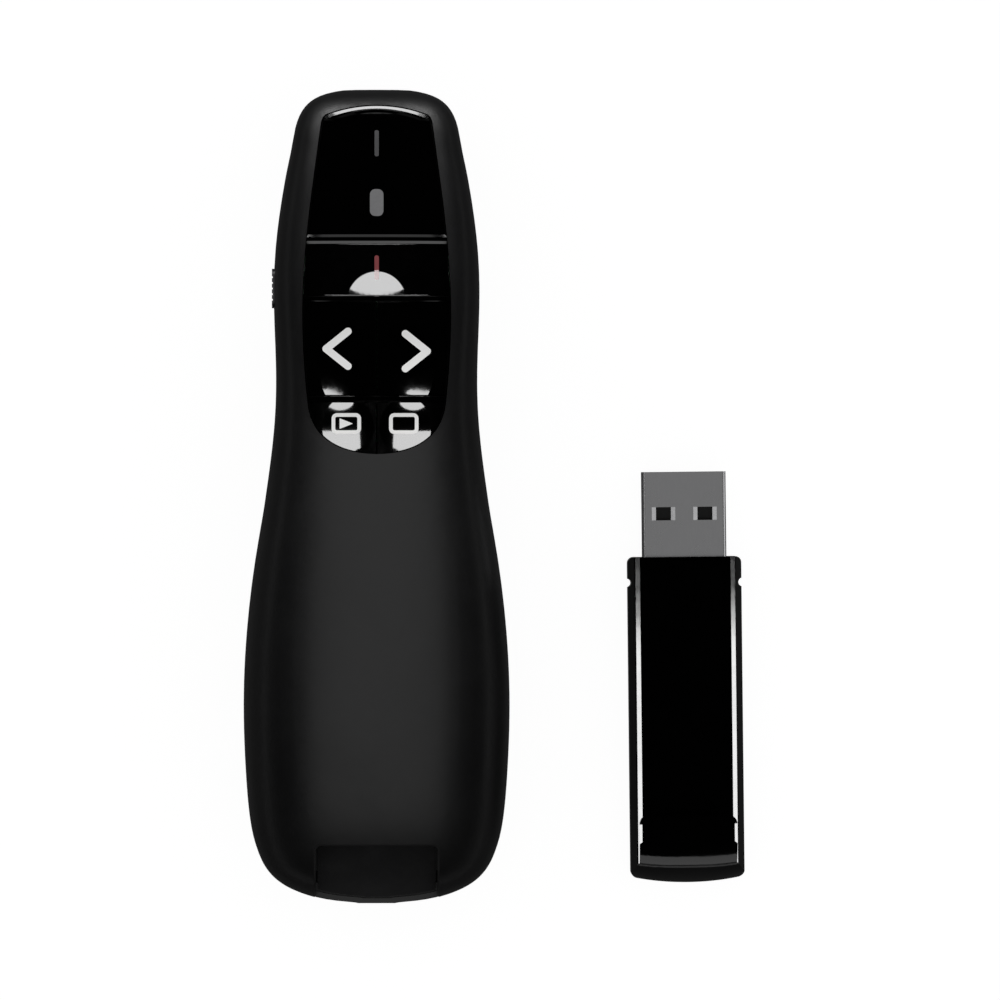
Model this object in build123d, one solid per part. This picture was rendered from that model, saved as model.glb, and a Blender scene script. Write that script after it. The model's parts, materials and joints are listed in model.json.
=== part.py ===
"""Wireless presentation clicker: a hand-held remote with five keys, a laser pointer, two AAA cells
and a USB receiver that docks in its tail.  Millimetres.

Frame: +Y is the remote's long axis and points out of the laser nose, +Z points out of the keys, and
+X is to the right of the keys.  The origin is the middle of the remote's footprint, on the table.
The receiver is drawn where it docks, and then laid on the table beside the remote.
"""

from build123d import *
import os

# ---------------------------------------------------------------- driving dimensions
LENGTH = 115.5
HALF_LENGTH = LENGTH / 2
PARTING_Z = 13.0          # plane where the two shells meet, at the widest line of the body
PARTING_GAP = 0.15
WALL = 1.6                # moulded shell wall
TONGUE_HEIGHT = 0.95      # lip of the lower shell that locates the upper shell
SLIP = 0.15               # gap round a moving plastic piece
SOLDER = 0.02             # gap between two pieces of one body that touch

# Body stations along Y: (y, half width, top z, bottom z)
STATIONS = [
    (-57.75, 2.6, 15.0, 9.4),
    (-57.45, 5.2, 16.7, 7.4),
    (-56.8, 8.9, 18.4, 5.4),
    (-55.7, 12.0, 20.1, 3.4),
    (-53.8, 14.8, 21.8, 1.3),
    (-51.0, 16.6, 23.2, -0.1),
    (-46.0, 17.95, 24.9, -0.7),
    (-39.0, 18.6, 26.3, -0.9),
    (-31.0, 18.9, 27.1, -0.9),
    (-22.0, 18.67, 27.4, -0.9),
    (-12.0, 17.7, 27.2, -0.9),
    (-2.0, 16.1, 26.4, -0.8),
    (8.0, 14.75, 25.3, -0.4),
    (17.0, 14.3, 24.4, 0.9),
    (27.0, 14.6, 23.7, 2.3),
    (36.0, 14.3, 23.2, 2.9),
    (44.0, 13.2, 22.7, 2.9),
    (51.0, 11.85, 21.9, 3.3),
    (54.3, 10.9, 21.0, 4.2),
    (56.0, 9.6, 19.9, 5.4),
    (57.0, 7.9, 18.6, 6.8),
    (57.5, 6.2, 17.4, 8.0),
    (57.75, 4.2, 16.0, 9.4),
]
CROWN_REAR, CROWN_FRONT = 0.70, 1.00   # how far the flat of the top reaches out, tail to nose
SHOULDER = 0.76                        # how square the upper side is
BELLY_REACH, BELLY_SIDE = 0.80, 0.72   # the same two for the lower half

# Key panel
PANEL_RECESS = 0.35       # panel surface below the shell surface
PANEL_GAP = 0.12
PANEL_DEPTH = 2.45        # underside of the bezel below the shell surface
RIM_TOP = WALL + 0.05     # the bezel's hidden rim lies under the shell's wall
FLANGE_TOP, FLANGE_BOTTOM = 2.55, 3.15
PANEL_LOW_Z = 18.9        # nothing of the panel but screw bosses and stems reaches below this
RIBS = {                  # y, width, height over the panel, and the bevel (along, down) of its upper edges
    "window": (36.35, 1.3, 0.3, (0.38, 0.2)),
    "arrows": (27.95, 0.8, 0.1, (0.12, 0.12)),
    "screens": (13.85, 0.8, 0.1, (0.12, 0.12)),
}
NOSE_LIP = 0.05           # the window's raised front edge lies this far below the shell surface
NOSE_LIP_Y, NOSE_LIP_WIDTH = 53.4, 0.6
NOSE_BEVEL = (0.5, 0.085)   # along and down, on that edge
LASER_KEY = (0.0, 32.0)
ARROW_KEY = (5.3, 21.0)
SCREEN_KEY = (4.3, 10.3)
LASER_WELL = ((0.0, 28.0), 18.0, 0.61)     # finger wells: lowest place (x, y), radius, depth there
ARROW_WELL = ((6.05, 20.6), 30.0, 0.37)
SCREEN_WELL = ((5.1, 11.2), 13.5, 0.56)
KEY_GAP = 0.17
HALF_SPLIT = 0.12         # half the gap between a left and a right key
DOT = (7.0, 24.15)        # raised dot that a thumb finds the forward key by
LIGHTS = {"status": (1.9, 3.8, 41.5), "signal": (0.6, 3.7, 49.9)}   # width, length, y

# Main board and key switches
BOARD_BOTTOM, BOARD_TOP = 16.3, 17.3
SWITCH_SIZE, SWITCH_HEIGHT = 4.4, 1.5
PLUNGER_R, PLUNGER_TOP = 1.05, 19.4
KEY_TRAVEL = 0.5
BOARD_SCREWS = [(-6.0, 48.5), (6.0, 48.5), (0.0, 13.85)]

# Laser pointer
LASER_Z = 12.7
BARREL_R, BARREL_BORE_R = 3.1, 2.45
BARREL_Y = (39.5, 52.0)
APERTURE_R = 1.5

# Cells
CELL_R, CELL_LENGTH = 5.25, 44.5
CELL_X, CELL_Z = 5.6, 7.1
NUB_R, NUB_LENGTH = 1.9, 0.9
TRAY_Y = (-49.2, -0.3)    # clear length of the battery tray
TRAY_WALL = 0.7
TRAY_HALF = 10.95
TRAY_LOW_Z = 4.0
PLATE = 0.3
SPRING_LENGTH = 2.75
FRONT_PLATE_Y = (TRAY_Y[1] - 0.05 - PLATE, TRAY_Y[1] - 0.05)
REAR_PLATE_Y = (TRAY_Y[0] + 0.05, TRAY_Y[0] + 0.05 + PLATE)

# Receiver and its dock
RECEIVER_HALF = 8.15
RECEIVER_Z = (13.3, 20.4)
RECEIVER_Y = (-56.6, -9.8)
RECEIVER_SPLIT_Z = 16.8
RECEIVER_BOARD_Z = (15.6, 16.4)
PLUG_TIP_Y = 2.4
PLUG_HALF, PLUG_HEIGHT, PLUG_SHEET = 6.0, 4.5, 0.3
PLUG_Z = 16.85
TONGUE_Z = (PLUG_Z + 0.03, PLUG_Z + PLUG_HEIGHT / 2 - PLUG_SHEET - SOLDER)
LATCH_WINDOW = ((1.9, 4.05), (-6.95, -5.05))   # across, and back from the plug's tip
LATCH_RIM = (0.6, 0.27)   # pressed-in rim beside a latch window: along and down
DOCK_HALF, DOCK_OUTER = 8.4, 9.3
DOCK_FLOOR = (12.5, 13.15)
DOCK_WALL_TOP = 18.6
DOCK_TAIL_Y = -56.4
DETENT_Y = -13.5
DETENT_R = 0.6
TAIL_NOTCH_HALF, TAIL_NOTCH_Y = 8.6, -49.1
TAIL_LIP = 0.7            # thickness of the lower shell's edge behind the dock
DOCK_EDGE = 0.25          # bevel on the upper shell's edge over the dock
CAP_Y, CAP_Z = -46.8, 22.0    # front and height of the raised end that fills the tail notch
BEVEL = [(1.72, 0.0), (0.9, 0.36), (0.0, 2.2)]   # receiver's upper edge: in from the side, down from the top
CAP_CORNER = 1.2          # round front corners of the raised end
CAP_BEVEL = (1.15, 0.38, 0.167)   # in from the side, then along and down, on the raised end's upper edge
TAIL_SAG, TAIL_CORNER = 1.1, 1.1  # how far the tail edge's arc bows out, and its rounded ends
LAID_BESIDE = ((44.05, 1.26, -RECEIVER_Z[0]), (0, 0, 0.63))   # from the dock to its place on the table

# Battery door
DOOR_HALF = 11.6
DOOR_Y = (-50.2, -0.9)
DOOR_THICKNESS = 1.2
DOOR_RECESS = 0.1         # keeps the door off the table

# Housing screws: (x, y) on the right-hand side, mirrored to the left
SCREW_FRONT = (9.2, 5.7)
SCREW_REAR = (14.3, -36.0)
SCREW_SEAT_Z = 6.2
BOSS_JOINT_Z = 8.9

# Power switch, on the left side
SLIDER_Z = 15.2
SLIDER_SLOT_Y = (26.6, 36.4)
SLIDER_SLOT_HEIGHT = 2.5
SLIDER_LENGTH, SLIDER_HEIGHT = 5.6, 2.2
SLIDER_REST_Y = 29.6
SLIDER_GROOVE = 0.12      # depth of the grip grooves
SLIDER_X = (-14.85, -11.8, -11.35)   # outer face, and the two faces of its hidden flange

BIG = 80.0


# ---------------------------------------------------------------- helpers
def block(x0, x1, y0, y1, z0, z1):
    """A box between two corners."""
    return Solid.make_box(x1 - x0, y1 - y0, z1 - z0, Plane(origin=(x0, y0, z0)))


def rod(radius, start, end):
    """A round bar between two points."""
    start, end = Vector(*start), Vector(*end)
    axis = end - start
    return Solid.make_cylinder(radius, axis.length, Plane(origin=start, z_dir=axis))


def pole(radius, place, z0, z1):
    """An upright round bar at a place (x, y)."""
    return rod(radius, (*place, z0), (*place, z1))


def ball(radius, x, y, z):
    """A sphere."""
    return Solid.make_sphere(radius, Plane(origin=(x, y, z)))


def prism(face, z0, z1):
    """A face of the XY plane drawn out from z0 to z1."""
    return Solid.extrude(face.moved(Location((0, 0, z0))), Vector(0, 0, z1 - z0))


def rounded_plate(x0, x1, y0, y1, radius):
    """A rectangle in the XY plane with round corners."""
    outline = RectangleRounded(x1 - x0, y1 - y0, radius)
    return outline.face().moved(Location(((x0 + x1) / 2, (y0 + y1) / 2, 0)))


def wire_run(points, radius, bend):
    """A round wire through points, with bent corners."""
    path = FilletPolyline(*points, radius=bend)
    profile = Face(Wire.make_circle(radius, Plane(origin=path @ 0, z_dir=path % 0)))
    return Solid.sweep(profile, path=path.wire())


def both_sides(shape):
    """A shape and its mirror image across the middle plane."""
    return [shape, shape.mirror(Plane.YZ)]


def slab(z0, z1):
    """Everything between two heights."""
    return block(-BIG, BIG, -BIG, BIG, z0, z1)


# ---------------------------------------------------------------- the body's skin
def section(y, half_width, top, bottom, inset):
    """One cross-section of the body as a wire of four quarter curves."""
    place = y * (1 - inset / HALF_LENGTH)
    side = half_width - inset
    base = max(bottom, 0) + inset if inset else bottom
    rise, drop = top - inset - PARTING_Z, PARTING_Z - base
    share = (y + HALF_LENGTH) / LENGTH
    crown = side * (CROWN_REAR + (CROWN_FRONT - CROWN_REAR) * share)

    def quarter(hand, height, reach, shoulder):
        return [
            Vector(0, place, PARTING_Z + height),
            Vector(hand * reach, place, PARTING_Z + height),
            Vector(hand * side, place, PARTING_Z + height * shoulder),
            Vector(hand * side, place, PARTING_Z),
        ]

    belly = side * BELLY_REACH
    return Wire(
        [
            Bezier(*quarter(1, rise, crown, SHOULDER)),
            Bezier(*quarter(1, -drop, belly, BELLY_SIDE)[::-1]),
            Bezier(*quarter(-1, -drop, belly, BELLY_SIDE)),
            Bezier(*quarter(-1, rise, crown, SHOULDER)[::-1]),
        ]
    )


SKINS = {}


def skin(inset):
    """The whole body as one solid, its surface moved in by inset."""
    if inset not in SKINS:
        stations = STATIONS if inset <= 1 else STATIONS[1:-1]
        SKINS[inset] = Solid.make_loft([section(*s, inset) for s in stations])
    return SKINS[inset]


def layer(outer, inner):
    """The hollow body between two insets."""
    return skin(outer) - skin(inner)


def surface_height(x, y, inset):
    """The height of the top of the skin at a place."""
    needle = block(x - 0.01, x + 0.01, y - 0.01, y + 0.01, PARTING_Z, 40) & skin(inset)
    return needle.bounding_box().max.Z


# ---------------------------------------------------------------- the key panel's outline
def panel_face(grow):
    """The outline of the glossy key panel, grown outwards by grow."""
    g = grow
    shoulder = (6.9 + g, 54.15 + g)
    corner, waist, foot = (7.95 + g, 52.4 + g / 3), (9.75 + g, 13.2), 6.05 - g
    edges = [ThreePointArc((-shoulder[0], shoulder[1]), (0, 55.4 + g), shoulder)]
    for s in (1, -1):
        start, end = (s * corner[0], corner[1]), (s * waist[0], waist[1])
        edges += [
            Bezier((s * shoulder[0], shoulder[1]), (s * (7.6 + g), 53.95 + g),
                   (s * (7.85 + g), 53.3 + g), start),
            Spline([start, (s * (9.5 + g), 40.6), (s * (10.5 + g), 26.0), end],
                   tangents=[(s * 0.13, -1), (s * -0.11, -1)]),
            Bezier(end, (s * (9.2 + g), 8.2 - g), (s * 5.2, foot), (0, foot)),
        ]
    return Face(Wire(edges))


def panel_band(grow, y0, y1):
    """The part of the panel's outline between two lines across it, through the full height."""
    return prism(panel_face(grow), PANEL_LOW_Z, 30) & block(-BIG, BIG, y0, y1, 0, BIG)


def rib_edges(name):
    """The lower and upper edge of a rib between keys."""
    y, width, _, _ = RIBS[name]
    return y - width / 2, y + width / 2


# ---------------------------------------------------------------- shells
def screw_places():
    """The four housing screws, the front pair first."""
    return [(s * x, y) for x, y in (SCREW_FRONT, SCREW_REAR) for s in (1, -1)]


def slider_slot(length, height, x0, x1, y):
    """A slot-shaped bar across the side wall, centred at y."""
    plane = Plane(origin=(x0, y, SLIDER_Z), x_dir=(0, 1, 0), z_dir=(1, 0, 0))
    return Solid.extrude(plane.from_local_coords(SlotOverall(length, height).face()), Vector(x1 - x0, 0, 0))


def top_shell():
    """Soft-touch upper shell with the panel opening, the tail notch and the switch slot."""
    shell = layer(0, WALL) & slab(PARTING_Z, 40)
    rebate = skin(0.75) & slab(PARTING_Z - 1, PARTING_Z + TONGUE_HEIGHT + SLIP)
    notch = prism(rounded_plate(-TAIL_NOTCH_HALF, TAIL_NOTCH_HALF, -BIG, TAIL_NOTCH_Y, 0.8), 0, BIG)
    low, high = SLIDER_SLOT_Y
    slot = slider_slot(high - low, SLIDER_SLOT_HEIGHT, -20, -9, (low + high) / 2)
    aperture = rod(2.6, (0, 50, LASER_Z), (0, 60, LASER_Z))
    shell = (shell - [rebate, prism(panel_face(0), 10, 30), notch, slot, aperture]).solids()[0]
    dock_edge = shell.edges().filter_by_position(Axis.Y, TAIL_NOTCH_Y - 0.01, TAIL_NOTCH_Y + 0.01)
    dock_edge = dock_edge.filter_by(lambda edge: edge.length > 5).sort_by(Axis.Z)
    shell = shell.chamfer(DOCK_EDGE, None, dock_edge[-2:])
    bosses = [pole(1.9, place, BOSS_JOINT_Z + 0.1, 27) & skin(1.0) for place in screw_places()]
    ribs = [block(-8.8, 8.8, y, y + 1.0, RECEIVER_Z[1] + 0.35, 28) & skin(1.0) for y in (-41, -26, -14)]
    shell = shell + bosses + ribs
    return shell - [pole(1.02, place, 5, 17) for place in screw_places()]


def bottom_shell():
    """Lower shell: belly, door opening, screw bosses, laser cradle and board posts."""
    shell = layer(0, WALL) & slab(0, PARTING_Z - PARTING_GAP)
    tongue = layer(0.85, WALL) & slab(PARTING_Z - 1.0, PARTING_Z + TONGUE_HEIGHT)
    tongue = tongue - block(-9.9, 9.9, -BIG, -45, 0, BIG)
    bosses = [pole(2.5, place, 0, BOSS_JOINT_Z) & skin(0.3) for place in screw_places()]
    cradles = [block(-4.6, 4.6, y, y + 1.0, 0, LASER_Z - 0.1) & skin(1.0) for y in (41.5, 49.0)]
    posts = []
    for place in ((9.2, 18.5), (8.6, 38.5)):
        posts += both_sides(pole(1.0, place, 0, BOARD_BOTTOM - SOLDER) & skin(1.0))
    shell = shell + [tongue, *bosses, *cradles, *posts]
    opening = prism(rounded_plate(-DOOR_HALF, DOOR_HALF, *DOOR_Y, 2.5), -5, 7)
    seats = [pole(2.05, place, -5, SCREW_SEAT_Z) for place in screw_places()]
    holes = [pole(1.15, place, 0, 12) for place in screw_places()]
    barrel = rod(BARREL_R + SOLDER, (0, 30, LASER_Z), (0, 54, LASER_Z))
    aperture = rod(2.6, (0, 50, LASER_Z), (0, 60, LASER_Z))
    thumbnail = ball(9.0, 0, -52.8, -8.1)
    tail_seat = skin(TAIL_LIP) & block(-TAIL_NOTCH_HALF, TAIL_NOTCH_HALF, -BIG, -50, 12.0, BIG)
    return shell - [opening, barrel, aperture, thumbnail, tail_seat, *seats, *holes]


# ---------------------------------------------------------------- key panel
def nose_lip():
    """The window's raised front edge: an arch with a bevel along its outer side."""
    plate = (layer(NOSE_LIP, PANEL_DEPTH) & panel_band(-PANEL_GAP, rib_edges("window")[0], BIG)).solids()[0]
    crest = plate.faces().sort_by(Axis.Z)[-1]
    arch = crest.edges().sort_by(Axis.Y)[-1]
    lip = plate.chamfer(*NOSE_BEVEL, [arch], crest) & block(-BIG, BIG, NOSE_LIP_Y, BIG, 0, BIG)
    return (lip - prism(panel_face(-PANEL_GAP - NOSE_LIP_WIDTH), PANEL_LOW_Z - 1, 30)).solids()[0]


def button_bezel():
    """Glossy frame: the fixed window at the nose, three ribs across and a hidden rim below."""
    rim_layer = layer(RIM_TOP, PANEL_DEPTH)
    window_edge = rib_edges("window")[0]
    window = layer(PANEL_RECESS, PANEL_DEPTH) & panel_band(-PANEL_GAP, window_edge, BIG)
    rim = (rim_layer & panel_band(1.0, -BIG, BIG)) - panel_band(0, -BIG, window_edge)
    parts = [rim, nose_lip()]
    for name, (_, _, height, bevel) in RIBS.items():
        edges = rib_edges(name)
        rib = layer(PANEL_RECESS - height, PANEL_DEPTH) & panel_band(-PANEL_GAP, *edges)
        half_rib = (rib & block(0, BIG, -BIG, BIG, 0, BIG)).solids()[0]
        top = half_rib.faces().sort_by(Axis.Z)[-1]
        across = top.edges().filter_by(lambda edge: edge.length > 5)
        parts += both_sides(half_rib.chamfer(*bevel, across, top))
        parts.append(rim_layer & panel_band(0.5, *edges))
    for place in BOARD_SCREWS:
        parts.append(pole(1.35, place, BOARD_TOP + SOLDER, 27) & skin(PANEL_DEPTH - 0.1))
    bezel = window + parts
    cuts = [pole(0.72, place, 10, 20) for place in BOARD_SCREWS]
    cuts += [pole(2.0, place, 5, 30) for place in screw_places()]
    for width, length, y in LIGHTS.values():
        cuts.append(prism(light_outline(width + 0.06, length + 0.06, y), 10, 30))
    return bezel - cuts


def light_outline(width, length, y):
    """The rounded outline of a light in the window."""
    return rounded_plate(-width / 2, width / 2, y - length / 2, y + length / 2, width * 0.4)


def light_pipe(name):
    """A clear bar that fills a slot of the window, flush with its surface."""
    return prism(light_outline(*LIGHTS[name]), BOARD_TOP + 0.8, 30) & skin(PANEL_RECESS)


def key(place, y0, y1, well, side=0):
    """A key cap with its retaining flange, its stem and its finger well.

    side is 0 for a key across the whole panel, and 1 or -1 for a right or left half.
    """
    cap = layer(PANEL_RECESS, FLANGE_BOTTOM) & panel_band(-KEY_GAP, y0 + SLIP, y1 - SLIP)
    flange = layer(FLANGE_TOP, FLANGE_BOTTOM) & panel_band(0.55, y0 - 0.3, y1 + 0.3)
    body = cap + flange
    if side:
        half = block(HALF_SPLIT, BIG, -BIG, BIG, 0, BIG)
        body = body & (half if side > 0 else half.mirror(Plane.YZ))
    over_boss = PANEL_DEPTH - 0.1 - KEY_TRAVEL - SLIP
    body = body - [pole(1.75, boss, 10, 30) & skin(over_boss) for boss in BOARD_SCREWS]
    body = body + (pole(1.2, place, PLUNGER_TOP + SOLDER, 27) & skin(FLANGE_BOTTOM - 0.3))
    (x, y), radius, depth = well
    x = side * x
    return body - ball(radius, x, y, surface_height(x, y, PANEL_RECESS) + radius - depth)


KEY_PLACES = {
    "laser": LASER_KEY,
    "back": (-ARROW_KEY[0], ARROW_KEY[1]),
    "forward": ARROW_KEY,
    "play": (-SCREEN_KEY[0], SCREEN_KEY[1]),
    "blank": SCREEN_KEY,
}


def keys():
    """The five keys by name."""
    arrows = (rib_edges("screens")[1], rib_edges("arrows")[0])
    screens = (0.0, rib_edges("screens")[0])
    laser = (rib_edges("arrows")[1], rib_edges("window")[0])
    made = {
        "laser": key(LASER_KEY, *laser, LASER_WELL),
        "back": key(KEY_PLACES["back"], *arrows, ARROW_WELL, side=-1),
        "forward": key(KEY_PLACES["forward"], *arrows, ARROW_WELL, side=1),
        "play": key(KEY_PLACES["play"], *screens, SCREEN_WELL, side=-1),
        "blank": key(KEY_PLACES["blank"], *screens, SCREEN_WELL, side=1),
    }
    dot_z = surface_height(*DOT, PANEL_RECESS)
    made["forward"] = made["forward"] + pole(0.35, DOT, dot_z - 1.2, dot_z - 0.25)
    return made


def tact_switch_bodies():
    """Five square switch housings on the board, each with the well of its plunger."""
    half = SWITCH_SIZE / 2
    made = []
    for x, y in KEY_PLACES.values():
        housing = block(x - half, x + half, y - half, y + half, BOARD_TOP, BOARD_TOP + SWITCH_HEIGHT)
        made.append(housing - pole(PLUNGER_R + 0.08, (x, y), BOARD_TOP + 0.15, 20))
    return made


def plunger(place):
    """The round actuator of a tact switch."""
    return pole(PLUNGER_R, place, BOARD_TOP + 0.15 + KEY_TRAVEL + 0.05, PLUNGER_TOP)


# ---------------------------------------------------------------- electronics
def main_board():
    """Printed board that carries the switches, shaped to the nose."""
    right = [(10.4, 7.8), (11.1, 14.0), (11.1, 32.0), (10.2, 43.0), (8.6, 49.5), (6.4, 53.2)]
    left = [(-x, y) for x, y in reversed(right)]
    board = prism(Face(Wire.make_polygon([*right, *left], close=True)), BOARD_BOTTOM, BOARD_TOP)
    return board - [pole(0.9, place, 10, 20) for place in BOARD_SCREWS]


def chip(x, y, length, width, height, under=False):
    """A component block on the board's top, or under it."""
    z = BOARD_BOTTOM - height if under else BOARD_TOP
    return block(x - width / 2, x + width / 2, y - length / 2, y + length / 2, z, z + height)


def rf_shield_can():
    """Folded tin can over the radio, open towards the board."""
    sheet, height = 0.15, 1.7
    can = chip(1.5, 19.2, 8.0, 9.0, height, under=True)
    hollow = chip(1.5, 19.2, 8.0 - 2 * sheet, 9.0 - 2 * sheet, height - sheet, under=True)
    return can - hollow


def chip_capacitors():
    """Small ceramic capacitors and resistors, in two rows."""
    rows = [(-6.2, 24.0 + 2.2 * i) for i in range(4)] + [(3.0 + 2.0 * i, 36.0) for i in range(3)]
    return [chip(x, y, 1.0, 0.6, 0.5, under=True) for x, y in rows]


def laser_barrel():
    """Brass tube that holds the diode and the collimating lens, with three grip grooves."""
    y0, y1 = BARREL_Y
    bore = rod(BARREL_BORE_R, (0, y0 - 1, LASER_Z), (0, y1 + 1, LASER_Z))
    tube = rod(BARREL_R, (0, y0, LASER_Z), (0, y1, LASER_Z)) - bore
    for y in (45.5, 46.5, 47.5):
        ring = rod(BARREL_R + 1, (0, y, LASER_Z), (0, y + 0.4, LASER_Z))
        tube = tube - (ring - rod(BARREL_R - 0.2, (0, y - 1, LASER_Z), (0, y + 1.4, LASER_Z)))
    return tube


def laser_lens():
    """Plano-convex collimating lens."""
    disc = rod(BARREL_BORE_R - SOLDER, (0, 48.6, LASER_Z), (0, 51.6, LASER_Z))
    return disc & ball(4.5, 0, 46.4, LASER_Z)


def laser_diode():
    """Metal-can laser diode with three pins."""
    y0 = BARREL_Y[0] + 0.1
    flange = rod(BARREL_BORE_R - SOLDER, (0, y0, LASER_Z), (0, y0 + 1.2, LASER_Z))
    cap = rod(1.75, (0, y0 + 1, LASER_Z), (0, y0 + 3.6, LASER_Z))
    pins = [rod(0.2, (x, 36.6, LASER_Z + z), (x, y0 + 0.2, LASER_Z + z))
            for x, z in ((-0.8, 0.6), (0.8, 0.6), (0, -0.6))]
    return flange + [cap, *pins]


def laser_foam_pad():
    """Foam saddle between the barrel and the board."""
    pad = block(-2.6, 2.6, 43.0, 45.3, LASER_Z + 2.0, BOARD_BOTTOM - SOLDER)
    return pad - rod(BARREL_R + SOLDER, (0, 40, LASER_Z), (0, 50, LASER_Z))


def laser_aperture_ring():
    """Glossy flanged ring in the nose, held between the shells."""
    tube = rod(2.5, (0, 54.5, LASER_Z), (0, 57.5, LASER_Z))
    flange = rod(3.4, (0, 54.5, LASER_Z), (0, 55.1, LASER_Z))
    bore = rod(APERTURE_R, (0, 50, LASER_Z), (0, 60, LASER_Z))
    seat = rod(2.1, (0, 50, LASER_Z), (0, 55.6, LASER_Z))
    flare = Solid.make_cone(APERTURE_R, 2.2, 0.8, Plane(origin=(0, 56.75, LASER_Z), z_dir=(0, 1, 0)))
    return (tube + flange) - [bore, seat, flare]


def laser_wires():
    """Two wires from the laser's driver board up to the main board."""
    run = [(1.4, 33.4, LASER_Z + 0.7), (1.4, 31.6, LASER_Z + 0.7), (3.0, 31.6, BOARD_BOTTOM - 0.1)]
    return both_sides(wire_run(run, 0.28, 0.7))


# ---------------------------------------------------------------- chassis and power
def inner_chassis():
    """Moulded frame: receiver dock above, battery tray below."""
    low, high = DOCK_FLOOR
    y0, y1 = TRAY_Y[0] - TRAY_WALL, TRAY_Y[1] + TRAY_WALL
    outer = TRAY_HALF + 0.6
    frame = block(-outer, outer, y0, y1, low, high)
    parts = [
        block(-DOCK_OUTER, DOCK_OUTER, DOCK_TAIL_Y, 3.0, low, high),
        block(-6.9, 6.9, 2.0, 4.1, low, high),
        block(-6.9, 6.9, 3.4, 4.1, low, DOCK_WALL_TOP),
        block(-outer, outer, TRAY_Y[1], y1, TRAY_LOW_Z, high),
        block(-outer, outer, y0, TRAY_Y[0], TRAY_LOW_Z, high),
        block(-0.25, 0.25, y0, y1, 10.5, high),
        *both_sides(block(DOCK_HALF, DOCK_OUTER, DOCK_TAIL_Y, 3.0, low, DOCK_WALL_TOP)),
        *both_sides(block(TRAY_HALF, outer, y0, y1, TRAY_LOW_Z, high)),
    ]
    for x, y in (SCREW_FRONT, SCREW_REAR):
        parts += both_sides(block(x - 3.4, x + 2.5, y - 2.9, y + 2.4, low, high))
    tail_floor = block(0.3 - TAIL_NOTCH_HALF, TAIL_NOTCH_HALF - 0.3, -BIG, -50, low, high)
    frame = ((frame + parts) & skin(WALL + 0.15)) + (tail_floor & skin(TAIL_LIP + 0.25))
    clear = [pole(2.12, place, 10, 14) for place in screw_places()]
    windows = both_sides(block(DOCK_HALF - 1, 10.5, DETENT_Y - 3.0, DETENT_Y + 3.0, 15.3, 18.3))
    lugs = both_sides(block(CELL_X - 1.0, CELL_X + 1.0, TRAY_Y[1] - 0.5, y1 + 0.5, 8.7, 9.6))
    return frame - [*clear, *windows, *lugs]


def cell(x, nub_tip_y, forward):
    """One AAA cell: forward is 1 where the nub points to the nose, and -1 where it points back."""
    shoulder = nub_tip_y - forward * NUB_LENGTH
    base = nub_tip_y - forward * CELL_LENGTH
    body = rod(CELL_R, (x, base, CELL_Z), (x, shoulder, CELL_Z))
    body = body.fillet(0.5, body.edges().filter_by(GeomType.CIRCLE))
    return body + rod(NUB_R, (x, shoulder - forward * 0.5, CELL_Z), (x, nub_tip_y, CELL_Z))


def coil_spring(x, y, toward):
    """A conical wire spring with its wide end at y, that narrows along toward, 1 or -1."""
    turns, wide, narrow, wire = 3.5, 3.1, 2.4, 0.25
    shares = [i / 28 for i in range(29)]
    coil = [Vector(wide + (narrow - wide) * share, 0, SPRING_LENGTH * share).rotate(Axis.Z, 360 * turns * share)
            for share in shares]
    path = Spline(coil)
    profile = Face(Wire.make_circle(wire, Plane(origin=path @ 0, z_dir=path % 0)))
    spring = Solid.sweep(profile, path=Wire([path]))
    return Plane(origin=(x, y, CELL_Z), z_dir=(0, toward, 0)).from_local_coords(spring)


def contact_springs():
    """The two negative springs, one at each end of the tray."""
    front = coil_spring(CELL_X, FRONT_PLATE_Y[0] - 0.3, -1)
    rear = coil_spring(-CELL_X, REAR_PLATE_Y[1] + 0.3, 1)
    return [front, rear]


def contact_plates():
    """The two end contacts at the nose side, with lugs through the tray wall."""
    made = []
    for x in (-CELL_X, CELL_X):
        plate = block(x - 4, x + 4, *FRONT_PLATE_Y, 4.3, 11.3)
        made.append(plate + block(x - 0.8, x + 0.8, FRONT_PLATE_Y[0], 2.0, 9.0, 9.3))
    return made


def series_link_plate():
    """The plate at the tail side that joins the two cells."""
    return block(-9.6, 9.6, *REAR_PLATE_Y, 4.3, 9.3)


def battery_wire(side):
    """An insulated wire from a contact lug up to the board."""
    points = [(CELL_X, 1.1, 9.72), (CELL_X, 4.8, 9.9), (4.9, 7.0, 12.4), (4.4, 9.2, BOARD_BOTTOM - 0.1)]
    return wire_run([(side * x, y, z) for x, y, z in points], 0.4, 1.0)


def housing_screw(place):
    """Pan-head self-tapping screw, head down."""
    head = pole(1.85, place, SCREW_SEAT_Z - 1.3, SCREW_SEAT_Z - SOLDER)
    head = head.fillet(0.35, head.edges().filter_by(GeomType.CIRCLE).sort_by(Axis.Z)[:1])
    screw = head + pole(1.0, place, SCREW_SEAT_Z - 0.2, 15.5)
    x, y = place
    low, high = SCREW_SEAT_Z - 2, SCREW_SEAT_Z - 0.6
    return screw - [block(x - 1.1, x + 1.1, y - 0.22, y + 0.22, low, high),
                    block(x - 0.22, x + 0.22, y - 1.1, y + 1.1, low, high)]


def board_screw(place):
    """Small screw that holds the board to the bezel, head down."""
    x, y = place
    screw = pole(1.35, place, BOARD_BOTTOM - 0.95, BOARD_BOTTOM - SOLDER)
    screw = screw + pole(0.7, place, BOARD_BOTTOM - 0.5, 19.4)
    return screw - block(x - 0.9, x + 0.9, y - 0.18, y + 0.18, BOARD_BOTTOM - 2, BOARD_BOTTOM - 0.55)


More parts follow.
